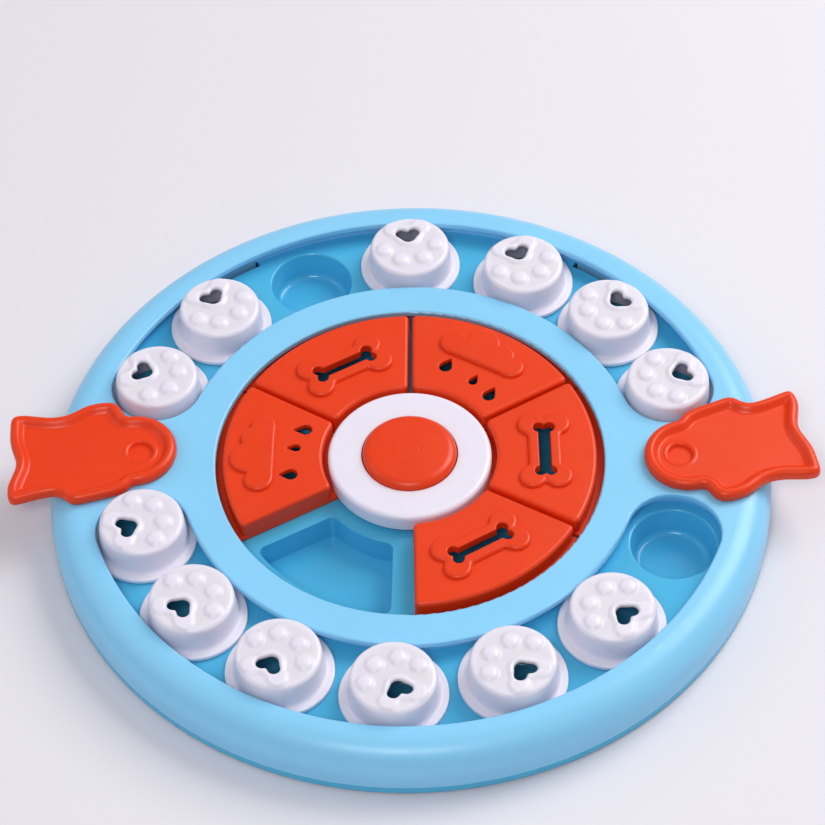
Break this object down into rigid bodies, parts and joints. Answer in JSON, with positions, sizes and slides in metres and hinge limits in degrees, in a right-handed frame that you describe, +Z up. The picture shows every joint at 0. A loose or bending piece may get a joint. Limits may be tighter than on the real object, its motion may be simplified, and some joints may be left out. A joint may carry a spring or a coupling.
{
  "type": "dog puzzle feeder toy",
  "caption": "Round treat puzzle tray with sliding paw caps in two curved channels, turning sector sliders with bones and clouds, a squeaker button and swinging fish covers.",
  "frame": {"origin": "middle of the tray on the table it stands on", "axes": "+Z up along the tray's axis; +X towards the right fish's pivot, through the bridge between the two channels; +Y towards the middle of the upper channel"},
  "size_m": [0.3128, 0.28, 0.0284],
  "materials": {
    "blue_shell": "satin moulded",
    "white_plastic": "satin moulded",
    "red_plastic": "satin moulded",
    "bulb": "soft matt",
    "screw_steel": "plated",
    "foot_rubber": "matt"
  },
  "bodies": {
    "tray": {"base_tray": "blue_shell", "top_cover": "blue_shell", "hub_cap": "white_plastic", "squeaker_bulb": "bulb", "squeaker_reed": "white_plastic", "hub_screws": "screw_steel", "cover_screws": "screw_steel", "rubber_feet": "foot_rubber"},
    "cap_01": {"paw_cap_01": "white_plastic"},
    "cap_02": {"paw_cap_02": "white_plastic"},
    "cap_03": {"paw_cap_03": "white_plastic"},
    "cap_04": {"paw_cap_04": "white_plastic"},
    "cap_05": {"paw_cap_05": "white_plastic"},
    "cap_06": {"paw_cap_06": "white_plastic"},
    "cap_07": {"paw_cap_07": "white_plastic"},
    "cap_08": {"paw_cap_08": "white_plastic"},
    "cap_09": {"paw_cap_09": "white_plastic"},
    "cap_10": {"paw_cap_10": "white_plastic"},
    "cap_11": {"paw_cap_11": "white_plastic"},
    "cap_12": {"paw_cap_12": "white_plastic"},
    "bone_1": {"bone_slider_1": "red_plastic"},
    "bone_2": {"bone_slider_2": "red_plastic"},
    "bone_3": {"bone_slider_3": "red_plastic"},
    "cloud_1": {"cloud_slider_1": "red_plastic"},
    "cloud_2": {"cloud_slider_2": "red_plastic"},
    "left_fish": {"fish_left": "red_plastic", "fish_screw_left": "screw_steel"},
    "right_fish": {"fish_right": "red_plastic", "fish_screw_right": "screw_steel"},
    "button": {"press_button": "red_plastic"}
  },
  "joints": [
    {"name": "cap_05_slide", "type": "hinge", "parent": "tray", "child": "cap_05", "pos_m": [0, 0, 0.0143], "axis": [0, 0, 1], "range_deg": [-23.3, 0]},
    {"name": "cap_06_slide", "type": "hinge", "parent": "tray", "child": "cap_06", "pos_m": [0, 0, 0.0143], "axis": [0, 0, 1], "range_deg": [-23.3, 0]},
    {"name": "cap_04_slide", "type": "hinge", "parent": "tray", "child": "cap_04", "pos_m": [0, 0, 0.0143], "axis": [0, 0, 1], "range_deg": [0, 22.2]},
    {"name": "cap_03_slide", "type": "hinge", "parent": "tray", "child": "cap_03", "pos_m": [0, 0, 0.0143], "axis": [0, 0, 1], "range_deg": [0, 22.2]},
    {"name": "cap_02_slide", "type": "hinge", "parent": "tray", "child": "cap_02", "pos_m": [0, 0, 0.0143], "axis": [0, 0, 1], "range_deg": [0, 22.2]},
    {"name": "cap_01_slide", "type": "hinge", "parent": "tray", "child": "cap_01", "pos_m": [0, 0, 0.0143], "axis": [0, 0, 1], "range_deg": [0, 22.2]},
    {"name": "cap_12_slide", "type": "hinge", "parent": "tray", "child": "cap_12", "pos_m": [0, 0, 0.0143], "axis": [0, 0, -1], "range_deg": [-23.4, 0]},
    {"name": "cap_11_slide", "type": "hinge", "parent": "tray", "child": "cap_11", "pos_m": [0, 0, 0.0143], "axis": [0, 0, -1], "range_deg": [-23.4, 0]},
    {"name": "cap_10_slide", "type": "hinge", "parent": "tray", "child": "cap_10", "pos_m": [0, 0, 0.0143], "axis": [0, 0, -1], "range_deg": [-23.4, 0]},
    {"name": "cap_09_slide", "type": "hinge", "parent": "tray", "child": "cap_09", "pos_m": [0, 0, 0.0143], "axis": [0, 0, -1], "range_deg": [-23.4, 0]},
    {"name": "cap_08_slide", "type": "hinge", "parent": "tray", "child": "cap_08", "pos_m": [0, 0, 0.0143], "axis": [0, 0, -1], "range_deg": [-23.4, 0]},
    {"name": "cap_07_slide", "type": "hinge", "parent": "tray", "child": "cap_07", "pos_m": [0, 0, 0.0143], "axis": [0, 0, -1], "range_deg": [-23.4, 0]},
    {"name": "bone_2_turn", "type": "hinge", "parent": "tray", "child": "bone_2", "pos_m": [0, 0, 0.0143], "axis": [0, 0, 1], "continuous": true},
    {"name": "cloud_1_turn", "type": "hinge", "parent": "tray", "child": "cloud_1", "pos_m": [0, 0, 0.0143], "axis": [0, 0, 1], "continuous": true},
    {"name": "bone_1_turn", "type": "hinge", "parent": "tray", "child": "bone_1", "pos_m": [0, 0, 0.0143], "axis": [0, 0, 1], "continuous": true},
    {"name": "cloud_2_turn", "type": "hinge", "parent": "tray", "child": "cloud_2", "pos_m": [0, 0, 0.0143], "axis": [0, 0, 1], "continuous": true},
    {"name": "bone_3_turn", "type": "hinge", "parent": "bone_2", "child": "bone_3", "pos_m": [0, 0, 0.0143], "axis": [0, 0, 1], "range_deg": [-62, 0]},
    {"name": "left_fish_swing", "type": "hinge", "parent": "tray", "child": "left_fish", "pos_m": [-0.1042, 0, 0.0223], "axis": [0, 0, 1], "range_deg": [-5, 8]},
    {"name": "right_fish_swing", "type": "hinge", "parent": "tray", "child": "right_fish", "pos_m": [0.1042, 0, 0.0223], "axis": [0, 0, -1], "range_deg": [-2, 116]},
    {"name": "button_press", "type": "slide", "parent": "tray", "child": "button", "axis": [0, 0, -1], "range_m": [0, 0.0035], "stiffness_N_per_m": 800, "deforming": ["squeaker_bulb"]}
  ],
  "couplings": [
    {"joint": "cap_06_slide", "follows": "cap_05_slide", "ratio": 1},
    {"joint": "cap_03_slide", "follows": "cap_04_slide", "ratio": 1},
    {"joint": "cap_02_slide", "follows": "cap_04_slide", "ratio": 1},
    {"joint": "cap_01_slide", "follows": "cap_04_slide", "ratio": 1},
    {"joint": "cap_11_slide", "follows": "cap_12_slide", "ratio": 1},
    {"joint": "cap_10_slide", "follows": "cap_12_slide", "ratio": 1},
    {"joint": "cap_09_slide", "follows": "cap_12_slide", "ratio": 1},
    {"joint": "cap_08_slide", "follows": "cap_12_slide", "ratio": 1},
    {"joint": "cap_07_slide", "follows": "cap_12_slide", "ratio": 1},
    {"joint": "cloud_1_turn", "follows": "bone_2_turn", "ratio": 1},
    {"joint": "bone_1_turn", "follows": "bone_2_turn", "ratio": 1},
    {"joint": "cloud_2_turn", "follows": "bone_2_turn", "ratio": 1}
  ]
}
